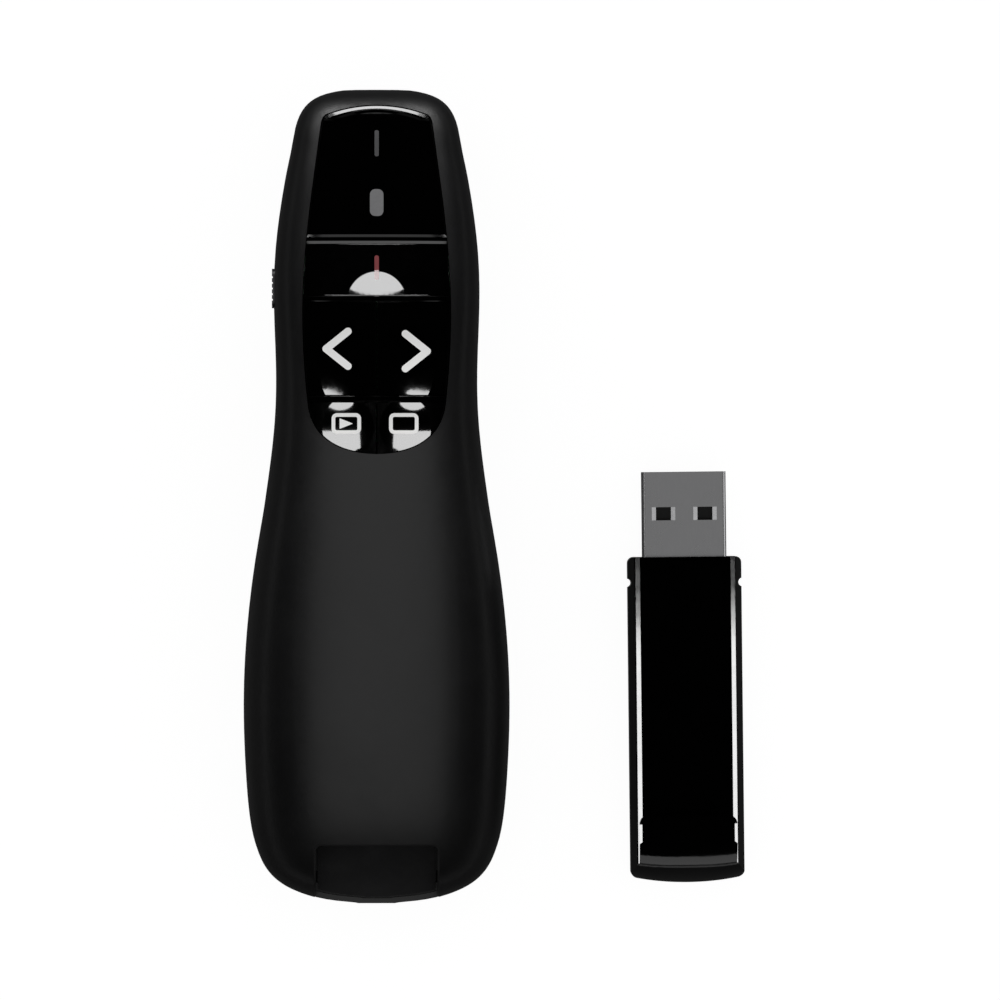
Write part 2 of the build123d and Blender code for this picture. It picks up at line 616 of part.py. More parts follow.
def battery_door():
    """Door that makes up most of the belly, with a hook in front and a latch tongue behind."""
    half = DOOR_HALF - SLIP
    low, high = DOOR_Y[0] + SLIP, DOOR_Y[1] - SLIP
    outline = prism(rounded_plate(-half, half, low, high, 2.35), -5, 7)
    door = layer(DOOR_RECESS, DOOR_THICKNESS) & outline
    hook = [block(-1.6, 1.6, high - 2.2, high, 0.8, 2.75), block(-1.6, 1.6, high - 2.2, 0.1, 2.05, 2.75)]
    slits = both_sides(block(3.9, 4.4, low - 1, low + 6.0, -1, 6))
    grip = [block(-3.2, 3.2, low + 1.2 + 1.1 * i, low + 1.7 + 1.1 * i, -1, 0.45) for i in range(4)]
    return (door + hook) - [*slits, *grip]


def power_switch_body():
    """Slide switch under the left edge of the board, with a channel for its lever."""
    y = SLIDER_REST_Y
    body = block(-11.05, -8.7, y - 2.0, y + 4.8, SLIDER_Z - 0.9, BOARD_BOTTOM - SOLDER)
    return body - block(-12, -9.5, y - 0.8, y + 3.6, SLIDER_Z - 0.5, SLIDER_Z + 0.5)


def power_switch_lever():
    """The switch's own lever, which the outer slider carries along."""
    y = SLIDER_REST_Y
    return block(SLIDER_X[1] + 0.05, -9.6, y - 0.7, y + 0.7, SLIDER_Z - 0.42, SLIDER_Z + 0.42)


def power_slider():
    """Ribbed outer slider with a hidden flange behind the slot."""
    outer, face, back = SLIDER_X
    y = SLIDER_REST_Y
    neck = slider_slot(SLIDER_LENGTH, SLIDER_HEIGHT, outer, back, y)
    flange = block(face, back, y - 4.6, y + 7.2, SLIDER_Z - 1.5, SLIDER_Z + 1.4)
    grooves = [block(outer - 1, outer + SLIDER_GROOVE, y + 0.8 * i - 0.15, y + 0.8 * i + 0.15, 12, 18)
               for i in range(-2, 3)]
    socket = block(face, back + 1, y - 0.75, y + 0.75, SLIDER_Z - 0.47, SLIDER_Z + 0.47)
    return (neck + flange) - [*grooves, socket]


# ---------------------------------------------------------------- receiver
def bevelled_bar(y0, y1):
    """A bar with the receiver's section: bevelled along its upper edges."""
    low, high = RECEIVER_Z
    right = [(RECEIVER_HALF - 0.8, low), (RECEIVER_HALF, low + 0.9)]
    right += [(RECEIVER_HALF - inwards, high - down) for inwards, down in reversed(BEVEL)]
    corners = right + [(-x, z) for x, z in reversed(right)]
    profile = Face(Wire.make_polygon([Vector(x, y0, z) for x, z in corners], close=True))
    bar = Solid.extrude(profile, Vector(0, y1 - y0, 0))
    return bar.fillet(0.4, bar.edges().filter_by(Axis.Y))


def receiver_form():
    """The receiver's outer form, docked: bevelled bar with a raised end that follows the tail."""
    half = RECEIVER_HALF
    tail, front = RECEIVER_Y
    inwards, along, down = CAP_BEVEL
    cap_outline = rounded_plate(inwards - half, half - inwards, tail - 3, CAP_Y, CAP_CORNER)
    cap = prism(cap_outline, RECEIVER_Z[0] + 1, CAP_Z)
    cap_top = cap.faces().sort_by(Axis.Z)[-1]
    cap = cap.chamfer(along, down, cap_top.edges(), cap_top)
    reach, side_y = half + 1, tail + TAIL_SAG
    outline = [
        ThreePointArc((-reach, side_y), (0, tail), (reach, side_y)),
        *Polyline((reach, side_y), (reach, front + 1), (-reach, front + 1), (-reach, side_y)).edges(),
    ]
    form = (bevelled_bar(tail - 1, front) + cap) & skin(0.75) & prism(Face(Wire(outline)), 5, 30)
    corner_r = 0.9
    x, y = half - corner_r, front - corner_r
    corner = block(x, half + 1, y, front + 1, 5, 30) - pole(corner_r, (x, y), 5, 30)
    turn = (reach ** 2 + TAIL_SAG ** 2) / (2 * TAIL_SAG) - TAIL_CORNER
    x = half - TAIL_CORNER
    y = tail + turn + TAIL_CORNER - (turn ** 2 - x ** 2) ** 0.5
    meets_x = x * (1 + TAIL_CORNER / turn)
    tail_corner = block(meets_x, half + 1, tail - 1, y, 5, 30) - pole(TAIL_CORNER, (x, y), 5, 30)
    notch = pole(DETENT_R, (half + 0.1, DETENT_Y), 5, 30)
    return form - [cut for shape in (corner, tail_corner, notch) for cut in both_sides(shape)]


def receiver_covers():
    """Upper and lower half of the receiver's case."""
    tail, front = RECEIVER_Y
    z0, z1 = PLUG_Z - PLUG_HEIGHT / 2 - 0.05, PLUG_Z + PLUG_HEIGHT / 2 + 0.05
    hollow = block(-7.2, 7.2, tail + 2.7, front - 2.6, 14.3, 19.4)
    mouth = block(-PLUG_HALF - 0.05, PLUG_HALF + 0.05, front - 4, front + 5, z0, z1)
    case = receiver_form() - [hollow, mouth]
    return case & slab(RECEIVER_SPLIT_Z + 0.04, 40), case & slab(0, RECEIVER_SPLIT_Z - 0.04)


def usb_shell():
    """Folded steel shell of the plug, with its four latch windows."""
    low, high = PLUG_Z - PLUG_HEIGHT / 2, PLUG_Z + PLUG_HEIGHT / 2
    start, s = RECEIVER_Y[1] - 7.4, PLUG_SHEET
    tube = block(-PLUG_HALF, PLUG_HALF, start, PLUG_TIP_Y, low, high)
    tube = tube.fillet(0.5, tube.edges().filter_by(Axis.Y))
    core = block(-PLUG_HALF + s, PLUG_HALF - s, start - 1, PLUG_TIP_Y + 1, low + s, high - s)
    across, back = LATCH_WINDOW
    window = block(*across, *(PLUG_TIP_Y + y for y in back), low - 1, high + 1)
    shell = (tube - [core, *both_sides(window)]).solids()[0]
    upper_face = shell.faces().sort_by(Axis.Z)[-1]
    sides = upper_face.edges().filter_by(Axis.Y).filter_by(lambda edge: edge.length < 3)
    return shell.chamfer(*LATCH_RIM, sides, upper_face)


def usb_tongue():
    """Insulating tongue inside the plug, under its upper face."""
    inner = PLUG_HALF - PLUG_SHEET - SOLDER
    return block(-inner, inner, -16.5, PLUG_TIP_Y - 0.4, *TONGUE_Z)


def usb_contacts():
    """Four gilt contact strips under the tongue, the outer pair longer."""
    z = TONGUE_Z[0] - SOLDER
    return [block(x - 0.5, x + 0.5, -16.0, PLUG_TIP_Y - back, z - 0.15, z)
            for x, back in ((-3.5, 1.2), (-1.0, 2.2), (1.0, 2.2), (3.5, 1.2))]


def receiver_components():
    """Radio chip, crystal, capacitors and antenna on the receiver's board."""
    z = RECEIVER_BOARD_Z[1]
    sizes = [(0, -26.0, 4.0, 4.0, 0.9), (4.0, -32.0, 3.2, 2.5, 0.8), (-4.2, -24.0, 1.0, 0.6, 0.5),
             (-4.2, -27.0, 1.0, 0.6, 0.5), (4.6, -24.0, 1.0, 0.6, 0.5), (0, -48.5, 2.0, 8.0, 1.0)]
    return [block(x - w / 2, x + w / 2, y - d / 2, y + d / 2, z, z + h) for x, y, d, w, h in sizes]


def dock_springs():
    """Two leaf springs on the dock's sides, whose noses snap into the receiver's notches."""
    x, y = DOCK_OUTER + 0.05, DETENT_Y
    leaf = block(x, x + 0.3, y - 6.0, y + 6.0, 15.6, 18.0)
    nose_r, nose_x = DETENT_R - 0.1, DOCK_HALF - 0.05
    nose = pole(nose_r, (nose_x, y), 15.9, 17.7)
    neck = block(nose_x, x + 0.1, y - nose_r, y + nose_r, 15.9, 17.7)
    return both_sides(leaf + [nose, neck])


def receiver_pieces():
    """The receiver's pieces, docked."""
    top_cover, bottom_cover = receiver_covers()
    return {
        "receiver_top_cover": top_cover,
        "receiver_bottom_cover": bottom_cover,
        "receiver_board": block(-6.8, 6.8, -52.0, -17.4, *RECEIVER_BOARD_Z),
        "receiver_components": receiver_components(),
        "usb_shell": usb_shell(),
        "usb_tongue": usb_tongue(),
        "usb_contacts": usb_contacts(),
    }


# ---------------------------------------------------------------- assembly
def remote_pieces():
    """Every piece of the remote but its keys."""
    return {
        "top_shell": top_shell(),
        "bottom_shell": bottom_shell(),
        "button_bezel": button_bezel(),
        "status_light_pipe": light_pipe("status"),
        "signal_light_pipe": light_pipe("signal"),
        "status_leds": [chip(0, y, 1.6, 0.8, 0.6) for _, _, y in LIGHTS.values()],
        "main_board": main_board(),
        "tact_switch_bodies": tact_switch_bodies(),
        "microcontroller_chip": chip(-1.0, 27.2, 6.0, 6.0, 0.9, under=True),
        "rf_shield_can": rf_shield_can(),
        "crystal_oscillator": chip(5.6, 25.4, 3.2, 2.5, 0.8, under=True),
        "chip_antenna": chip(-7.9, 43.6, 3.0, 1.6, 1.0),
        "chip_capacitors": chip_capacitors(),
        "laser_barrel": laser_barrel(),
        "laser_lens": laser_lens(),
        "laser_diode": laser_diode(),
        "laser_driver_board": block(-2.4, 2.4, 32.5, 38.8, LASER_Z - 0.4, LASER_Z + 0.4),
        "laser_wires": laser_wires(),
        "laser_foam_pad": laser_foam_pad(),
        "laser_aperture_ring": laser_aperture_ring(),
        "laser_window": rod(2.05, (0, 54.7, LASER_Z), (0, 55.55, LASER_Z)),
        "inner_chassis": inner_chassis(),
        "dock_springs": dock_springs(),
        "battery_cell_left": cell(-CELL_X, FRONT_PLATE_Y[0] - 0.03, 1),
        "battery_cell_right": cell(CELL_X, REAR_PLATE_Y[1] + 0.03, -1),
        "contact_springs": contact_springs(),
        "contact_plates": contact_plates(),
        "series_link_plate": series_link_plate(),
        "battery_wire_red": battery_wire(-1),
        "battery_wire_black": battery_wire(1),
        "battery_door": battery_door(),
        "housing_screws": [housing_screw(place) for place in screw_places()],
        "board_screws": [board_screw(place) for place in BOARD_SCREWS],
        "power_switch_body": power_switch_body(),
        "power_switch_lever": power_switch_lever(),
        "power_slider": power_slider(),
    }


def solids_of(made):
    """The solids of one shape or of a list of shapes."""
    return [solid for shape in (made if isinstance(made, list) else [made]) for solid in shape.solids()]


def main():
    """Builds every piece and writes one STEP file for each."""
    os.makedirs("parts", exist_ok=True)
    pieces = {name: solids_of(made) for name, made in remote_pieces().items()}
    for name, made in keys().items():
        pieces[f"{name}_button"] = solids_of(made)
        pieces[f"{name}_switch_plunger"] = [plunger(KEY_PLACES[name])]
    for name, made in receiver_pieces().items():
        pieces[name] = [solid.moved(Location(*LAID_BESIDE)) for solid in solids_of(made)]
    for name, solids in pieces.items():
        export_step(Compound(children=solids), f"parts/{name}.step")


main()
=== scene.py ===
"""Looks of a wireless presentation clicker: finishes, printed marks, studio and camera.

Metres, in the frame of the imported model: +Y runs out of the laser nose and +Z out of the keys.
"""

import json
import logging
import math
from dataclasses import dataclass, field
from enum import Enum
from typing import Any

import bpy
from mathutils import Matrix, Vector

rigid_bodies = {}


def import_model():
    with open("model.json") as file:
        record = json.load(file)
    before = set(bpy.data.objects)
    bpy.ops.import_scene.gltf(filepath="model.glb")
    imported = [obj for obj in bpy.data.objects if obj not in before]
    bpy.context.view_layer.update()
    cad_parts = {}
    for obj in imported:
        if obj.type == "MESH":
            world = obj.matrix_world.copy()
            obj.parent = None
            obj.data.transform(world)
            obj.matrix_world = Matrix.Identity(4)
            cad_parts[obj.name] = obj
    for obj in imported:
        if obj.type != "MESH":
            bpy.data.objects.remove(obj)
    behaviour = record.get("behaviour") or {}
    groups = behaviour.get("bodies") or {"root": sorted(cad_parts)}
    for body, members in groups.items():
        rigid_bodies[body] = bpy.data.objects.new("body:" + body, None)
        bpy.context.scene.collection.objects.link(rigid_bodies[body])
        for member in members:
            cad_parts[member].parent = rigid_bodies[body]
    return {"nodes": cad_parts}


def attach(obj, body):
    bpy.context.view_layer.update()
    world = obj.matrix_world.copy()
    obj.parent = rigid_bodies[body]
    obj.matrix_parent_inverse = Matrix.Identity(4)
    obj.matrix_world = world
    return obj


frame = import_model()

log = logging.getLogger("clicker")

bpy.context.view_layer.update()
MM = 0.001

Colour = tuple[float, float, float]
Point = tuple[float, float]
Place = tuple[float, float, float]

# What the finishes have in common
BROAD_GRAIN = 0.4               # scale of the broad grain, as a share of the pits' scale
STREAKS_PER_BLOTCH = 9.0
BLOTCH_SHARE, STREAK_SHARE = 0.7, 0.3
HANDLING_RANGE = (0.35, 0.65)   # noise values that become 0 and 1 in the handling mask
MOTTLE_SIZE = 4.0 * MM
WEAR_SIZE = 11.0 * MM
LOWEST_ROUGHNESS = 0.02

KEYS = ("laser", "back", "forward", "play", "blank")
NEAR_ZERO = 1e-9


class Hand(Enum):
    """The two sides of the panel, left or right of the middle line."""

    LEFT = -1
    RIGHT = 1


class Lie(Enum):
    """The direction that drawn or brushed metal runs in, as stretch factors of its noise."""

    ALONG_X = (0.04, 1.0, 1.0)
    ALONG_Y = (1.0, 0.04, 1.0)
    NONE = (1.0, 1.0, 1.0)


class Face(Enum):
    """The outline of a lamp's face, with its area as a share of width times height."""

    RECTANGLE = 1.0
    ELLIPSE = math.pi / 4


# ---------------------------------------------------------------- shader building
class Sheet:
    """Adds and joins the nodes of one node tree."""

    def __init__(self, tree: bpy.types.NodeTree) -> None:
        """Starts on a tree.

        Args:
            tree: The node tree that the nodes go into.
        """
        self.tree = tree

    def add(self, kind: str, inputs: dict[Any, Any] | None = None, **settings: Any) -> bpy.types.Node:
        """Adds a node, sets its properties, and sets or links its inputs.

        Args:
            kind: The node's type name.
            inputs: Values or sockets by input name or number.
            **settings: Properties of the node.

        Returns:
            The new node.
        """
        node = self.tree.nodes.new(kind)
        for name, value in settings.items():
            setattr(node, name, value)
        for key, value in (inputs or {}).items():
            if isinstance(value, bpy.types.NodeSocket):
                self.tree.links.new(value, node.inputs[key])
            else:
                node.inputs[key].default_value = value
        return node

    def calc(self, operation: str, *values: Any) -> bpy.types.NodeSocket:
        """Adds a Math node and returns its result.

        Args:
            operation: The Math node's operation.
            *values: Numbers or sockets.

        Returns:
            The node's output socket.
        """
        return self.add("ShaderNodeMath", dict(enumerate(values)), operation=operation).outputs[0]

    def blend(self, share: Any, first: Any, second: Any) -> bpy.types.NodeSocket:
        """Mixes two colours and returns the result.

        Args:
            share: How much of the second colour, a number or a socket.
            first: The first colour, three numbers or a socket.
            second: The second colour.

        Returns:
            The mixed colour's socket.
        """
        def rgba(colour: Any) -> Any:
            """Gives three numbers a fourth and leaves a socket as it is.

            Args:
                colour: Three numbers or a socket.

            Returns:
                Four numbers or the socket.
            """
            return colour if isinstance(colour, bpy.types.NodeSocket) else (*colour, 1.0)

        node = self.add("ShaderNodeMix", {0: share, 6: rgba(first), 7: rgba(second)}, data_type="RGBA")
        return node.outputs[2]

    def spread(self, value: Any, low: float, high: float) -> bpy.types.NodeSocket:
        """Maps a value from 0..1 to low..high.

        Args:
            value: A socket from 0 to 1.
            low: What 0 becomes.
            high: What 1 becomes.

        Returns:
            The mapped value's socket.
        """
        return self.add("ShaderNodeMapRange", {0: value, 3: low, 4: high}).outputs[0]


def new_group(name: str, inputs: dict[str, float], outputs: list[str]) -> tuple[bpy.types.NodeTree, Sheet]:
    """Starts a shader node group of number sockets.

    Args:
        name: The group's name.
        inputs: The input sockets and their default values.
        outputs: The output sockets.

    Returns:
        The group and a sheet to add its nodes with.
    """
    tree = bpy.data.node_groups.new(name, "ShaderNodeTree")
    for label, value in inputs.items():
        tree.interface.new_socket(label, in_out="INPUT", socket_type="NodeSocketFloat").default_value = value
    for label in outputs:
        tree.interface.new_socket(label, in_out="OUTPUT", socket_type="NodeSocketFloat")
    return tree, Sheet(tree)


def grain_group() -> bpy.types.NodeTree:
    """Builds the texture of a spark-eroded mould: pits at two sizes.

    Returns:
        The group, with Height out and Pitch, the size of a pit in metres, in.
    """
    tree, sheet = new_group("mould_grain", {"Pitch": 0.0001}, ["Height"])
    entry, place = sheet.add("NodeGroupInput"), sheet.add("ShaderNodeTexCoord")
    scale = sheet.calc("DIVIDE", 1.0, entry.outputs["Pitch"])
    pits = sheet.add("ShaderNodeTexVoronoi", {"Vector": place.outputs["Object"], "Scale": scale})
    broad = sheet.add("ShaderNodeTexNoise",
                      {"Vector": place.outputs["Object"],
                       "Scale": sheet.calc("MULTIPLY", scale, BROAD_GRAIN), "Detail": 2.0})
    height = sheet.calc("ADD", pits.outputs["Distance"], broad.outputs[0])
    sheet.add("NodeGroupOutput", {"Height": height})
    return tree


def handling_group() -> bpy.types.NodeTree:
    """Builds the faint patchiness that fingers leave: soft blotches with streaks inside them.

    Returns:
        The group, with Mask out and Size, the width of a blotch in metres, in.
    """
    tree, sheet = new_group("handling", {"Size": 0.01}, ["Mask"])
    entry, place = sheet.add("NodeGroupInput"), sheet.add("ShaderNodeTexCoord")
    scale = sheet.calc("DIVIDE", 1.0, entry.outputs["Size"])
    blotch = sheet.add("ShaderNodeTexNoise",
                       {"Vector": place.outputs["Object"], "Scale": scale, "Detail": 3.0, "Distortion": 0.6})
    streak = sheet.add("ShaderNodeTexNoise",
                       {"Vector": place.outputs["Object"],
                        "Scale": sheet.calc("MULTIPLY", scale, STREAKS_PER_BLOTCH),
                        "Detail": 4.0, "Distortion": 1.2})
    both = sheet.calc("ADD", sheet.calc("MULTIPLY", blotch.outputs[0], BLOTCH_SHARE),
                      sheet.calc("MULTIPLY", streak.outputs[0], STREAK_SHARE))
    low, high = HANDLING_RANGE
    mask = sheet.add("ShaderNodeMapRange", {0: both, 1: low, 2: high}).outputs[0]
    sheet.add("NodeGroupOutput", {"Mask": mask})
    return tree


GROUPS: dict[str, bpy.types.NodeTree] = {}


def start_material(name: str) -> tuple[bpy.types.Material, Sheet, bpy.types.Node]:
    """Makes an empty node material with a Principled shader.

    Args:
        name: The material's name.

    Returns:
        The material, a sheet to add its nodes with, and the shader node.
    """
    material = bpy.data.materials.new(name)
    material.use_nodes = True
    return material, Sheet(material.node_tree), material.node_tree.nodes["Principled BSDF"]


@dataclass(frozen=True)
class Finish:
    """What every finish shares: a colour, a roughness and the two surface effects.

    Attributes:
        name: The material's name.
        colour: Base colour, linear.
        roughness: Mean roughness.
        patchy: How far handling moves the roughness.
        mottle: How far the colour varies, as a share.
        grain: Size of the surface grain in metres.
        relief: Height of the grain in metres.
        metallic: 1 for bare metal.
        specular: Specular level of the shader.
    """

    name: str
    colour: Colour
    roughness: float
    patchy: float = 0.06
    mottle: float = 0.12
    grain: float = 0.1 * MM
    relief: float = 0.004 * MM
    metallic: float = 0.0
    specular: float = 0.5

    def use(self, sheet: Sheet, group: str, **values: float) -> bpy.types.NodeSocket:
        """Places a shared effect in a material.

        Args:
            sheet: The material's sheet.
            group: The effect's name.
            **values: Its inputs.

        Returns:
            The effect's output socket.
        """
        node = sheet.add("ShaderNodeGroup", node_tree=GROUPS[group])
        for label, value in values.items():
            node.inputs[label].default_value = value
        return node.outputs[0]

    def colour_of(self, sheet: Sheet) -> bpy.types.NodeSocket:
        """Mottles the base colour.

        Args:
            sheet: The material's sheet.

        Returns:
            The colour's socket.
        """
        patches = self.use(sheet, "handling", Size=MOTTLE_SIZE)
        low = tuple(c * (1 - self.mottle) for c in self.colour)
        high = tuple(min(1.0, c * (1 + self.mottle)) for c in self.colour)
        return sheet.blend(patches, low, high)

    def height_of(self, sheet: Sheet) -> bpy.types.NodeSocket:
        """Makes the surface's height for the bump, from 0 to about 1.

        Args:
            sheet: The material's sheet.

        Returns:
            The height's socket.
        """
        return self.use(sheet, "mould_grain", Pitch=self.grain)

    def extra(self, sheet: Sheet, shader: bpy.types.Node) -> None:
        """Sets what only some finishes have; nothing here.

        Args:
            sheet: The material's sheet.
            shader: Its shader.
        """

    def make(self) -> bpy.types.Material:
        """Builds the material.

        Returns:
            The finished material.
        """
        material, sheet, shader = start_material(self.name)
        tree = sheet.tree
        tree.links.new(self.colour_of(sheet), shader.inputs["Base Color"])
        worn = self.use(sheet, "handling", Size=WEAR_SIZE)
        smoothest = max(LOWEST_ROUGHNESS, self.roughness - self.patchy)
        rough = sheet.spread(worn, smoothest, self.roughness + self.patchy)
        tree.links.new(rough, shader.inputs["Roughness"])
        shader.inputs["Metallic"].default_value = self.metallic
        shader.inputs["Specular IOR Level"].default_value = self.specular
        bump = sheet.add("ShaderNodeBump", {"Strength": 1.0, "Distance": self.relief,
                                            "Height": self.height_of(sheet)})
        tree.links.new(bump.outputs[0], shader.inputs["Normal"])
        self.extra(sheet, shader)
        return material


@dataclass(frozen=True)
class SoftTouch(Finish):
    """Rubbery lacquer over moulded plastic.

    Attributes:
        sheen: Weight of the velvet sheen.
        sheen_roughness: Its roughness.
    """

    sheen: float = 0.005
    sheen_roughness: float = 0.5

    def extra(self, sheet: Sheet, shader: bpy.types.Node) -> None:
        """Gives the lacquer its faint velvet sheen.

        Args:
            sheet: The material's sheet.
            shader: Its shader.
        """
        shader.inputs["Sheen Weight"].default_value = self.sheen
        shader.inputs["Sheen Roughness"].default_value = self.sheen_roughness


@dataclass(frozen=True)
class Metal(Finish):
    """Bare metal with drawing or brushing lines.

    Attributes:
        lie: The direction of the lines.
        pitch: The distance between lines in metres.
    """

    lie: Lie = Lie.NONE
    pitch: float = 0.12 * MM

    def lines(self, sheet: Sheet) -> bpy.types.NodeSocket:
        """Makes the noise of the lines, from 0 to 1.

        Args:
            sheet: The material's sheet.

        Returns:
            The noise's socket.
        """
        place = sheet.add("ShaderNodeTexCoord")
        stretched = sheet.add("ShaderNodeMapping",
                              {"Vector": place.outputs["Object"], "Scale": self.lie.value})
        noise = sheet.add("ShaderNodeTexNoise",
                          {"Vector": stretched.outputs[0], "Scale": 1 / self.pitch, "Detail": 3.0})
        return noise.outputs[0]

    def colour_of(self, sheet: Sheet) -> bpy.types.NodeSocket:
        """Darkens the metal's colour a little along the lines.

        Args:
            sheet: The material's sheet.

        Returns:
            The colour's socket.
        """
        dark = tuple(c * (1 - self.mottle) for c in self.colour)
        return sheet.blend(self.lines(sheet), dark, self.colour)

    def height_of(self, sheet: Sheet) -> bpy.types.NodeSocket:
        """Takes the lines as the surface's height.

        Args:
            sheet: The material's sheet.

        Returns:
            The height's socket.
        """
        return self.lines(sheet)


@dataclass(frozen=True)
class BoardMask(Finish):
    """Solder mask with copper tracks showing through it.

    Attributes:
        cells: Cells of the track pattern to a metre.
        tracks: Tracks in a cell.
        half_track: Half a track's width, as a share of the tracks' spacing.
        gain: How much lighter the mask is over copper.
        lift: What is added there.
    """

    cells: float = 420.0
    tracks: float = 3.0
    half_track: float = 0.16
    gain: float = 1.9
    lift: float = 0.01

    def colour_of(self, sheet: Sheet) -> bpy.types.NodeSocket:
        """Lightens the mask's colour over square-cornered tracks.

        Args:
            sheet: The material's sheet.

        Returns:
            The colour's socket.
        """
        place = sheet.add("ShaderNodeTexCoord")
        cells = sheet.add("ShaderNodeTexVoronoi", {"Vector": place.outputs["Object"], "Scale": self.cells},
                          distance="MANHATTAN", feature="F1", voronoi_dimensions="2D")
        ripple = sheet.calc("FRACT", sheet.calc("MULTIPLY", cells.outputs["Distance"], self.tracks))
        off_track = sheet.calc("ABSOLUTE", sheet.calc("SUBTRACT", ripple, 0.5))
        track = sheet.calc("LESS_THAN", off_track, self.half_track)
        lit = tuple(min(1.0, c * self.gain + self.lift) for c in self.colour)
        return sheet.blend(track, self.colour, lit)


@dataclass(frozen=True)
class CellSleeve(Finish):
    """Shrink sleeve of a cell: a copper-coloured end and a dark body.

    Attributes:
        middle: The sleeve's centre along Y in metres.
        forward: 1 where the copper end points to the nose, and -1 where it points back.
        copper_from: Where the copper end starts, measured from the middle.
        body: Colour of the rest.
    """

    middle: float = 0.0
    forward: int = 1
    copper_from: float = 8.0 * MM
    body: Colour = (0.02, 0.02, 0.022)

    def colour_of(self, sheet: Sheet) -> bpy.types.NodeSocket:
        """Lays copper towards the nub and black over the rest.

        Args:
            sheet: The material's sheet.

        Returns:
            The colour's socket.
        """
        place = sheet.add("ShaderNodeTexCoord")
        along = sheet.add("ShaderNodeSeparateXYZ", {0: place.outputs["Object"]}).outputs[1]
        from_middle = sheet.calc("MULTIPLY", sheet.calc("SUBTRACT", along, self.middle), float(self.forward))
        copper = sheet.calc("GREATER_THAN", from_middle, self.copper_from)
        return sheet.blend(copper, self.body, self.colour)


@dataclass(frozen=True)
class ClearPlastic(Finish):
    """Tinted clear plastic or glass.

    Attributes:
        transmission: Share of light that goes through.
    """

    transmission: float = 1.0

    def extra(self, sheet: Sheet, shader: bpy.types.Node) -> None:
        """Makes the piece see-through.

        Args:
            sheet: The material's sheet.
            shader: Its shader.
        """
        shader.inputs["Transmission Weight"].default_value = self.transmission


def finishes() -> dict[str, bpy.types.Material]:
    """Builds each finish once.

    Returns:
        The materials by name.
    """
    GROUPS.update(mould_grain=grain_group(), handling=handling_group())
    made = [
        SoftTouch("soft_touch", (0.003, 0.003, 0.0032), 0.38, patchy=0.03, mottle=0.1, grain=0.09 * MM,
                  relief=0.003 * MM, specular=0.4),
        Finish("gloss_black", (0.0012, 0.0012, 0.0013), 0.07, patchy=0.03, mottle=0.2, grain=0.6 * MM,
               relief=0.0003 * MM, specular=0.6),
        Finish("inner_black", (0.004, 0.004, 0.0045), 0.5, grain=0.12 * MM, relief=0.006 * MM, specular=0.15),
        Finish("slider_black", (0.009, 0.009, 0.01), 0.42, grain=0.1 * MM, relief=0.004 * MM),
        Finish("smoked_window", (0.23, 0.23, 0.235), 0.18, mottle=0.1, relief=0.0005 * MM),
        Finish("smoked_line", (0.095, 0.095, 0.098), 0.2, mottle=0.1, relief=0.0005 * MM),
        Finish("print_white", (0.8, 0.8, 0.79), 0.45, mottle=0.04, grain=0.05 * MM, relief=0.001 * MM),
        Finish("print_red", (0.28, 0.075, 0.08), 0.08, patchy=0.02, mottle=0.05, relief=0.0003 * MM),
        BoardMask("board_mask", (0.012, 0.09, 0.035), 0.3, relief=0.002 * MM),
        Finish("chip_epoxy", (0.018, 0.018, 0.02), 0.55, grain=0.05 * MM, relief=0.003 * MM),
        Finish("capacitor_tan", (0.42, 0.33, 0.22), 0.5, grain=0.05 * MM),
        Metal("switch_tin", (0.55, 0.55, 0.54), 0.33, metallic=1.0, lie=Lie.ALONG_X, mottle=0.1),
        Metal("tinned_steel", (0.6, 0.59, 0.56), 0.3, metallic=1.0, lie=Lie.ALONG_Y, mottle=0.12),
        Metal("zinc_steel", (0.48, 0.48, 0.5), 0.35, metallic=1.0, mottle=0.15),
        Metal("spring_steel", (0.45, 0.45, 0.46), 0.28, metallic=1.0, lie=Lie.ALONG_Y, mottle=0.1),
        Metal("plug_steel", (0.18, 0.18, 0.183), 0.26, patchy=0.04, metallic=1.0, lie=Lie.ALONG_Y,
              mottle=0.12, pitch=0.08 * MM, relief=0.001 * MM),
        Metal("turned_brass", (0.6, 0.42, 0.17), 0.3, metallic=1.0, lie=Lie.ALONG_X, mottle=0.15),
        Metal("gold_flash", (0.8, 0.55, 0.2), 0.25, metallic=1.0, lie=Lie.ALONG_Y, mottle=0.08),
        ClearPlastic("lens_clear", (0.85, 0.9, 0.92), 0.03, patchy=0.01, mottle=0.02, relief=0.0001 * MM),
        ClearPlastic("led_clear", (0.8, 0.8, 0.74), 0.2, mottle=0.05, relief=0.0005 * MM, transmission=0.5),
        Finish("foam", (0.05, 0.05, 0.052), 0.9, mottle=0.3, grain=0.35 * MM, relief=0.05 * MM, specular=0.2),
        Finish("wire_red", (0.4, 0.015, 0.012), 0.4, relief=0.001 * MM),
        Finish("wire_black", (0.012, 0.012, 0.012), 0.4, relief=0.001 * MM),
        Finish("plunger_black", (0.02, 0.02, 0.02), 0.35, relief=0.002 * MM),
        Finish("tongue_black", (0.01, 0.01, 0.01), 0.45, relief=0.001 * MM),
        CellSleeve("cell_left_sleeve", (0.45, 0.24, 0.1), 0.25, middle=-22.9 * MM, forward=1,
                   relief=0.0005 * MM),
        CellSleeve("cell_right_sleeve", (0.45, 0.24, 0.1), 0.25, middle=-26.6 * MM, forward=-1,
                   relief=0.0005 * MM),
    ]
    return {finish.name: finish.make() for finish in made}


# ---------------------------------------------------------------- modelling
def clear_selection() -> None:
    """Leaves edit mode and deselects every object."""
    if bpy.context.object and bpy.context.object.mode != "OBJECT":
        bpy.ops.object.mode_set(mode="OBJECT")
    bpy.ops.object.select_all(action="DESELECT")


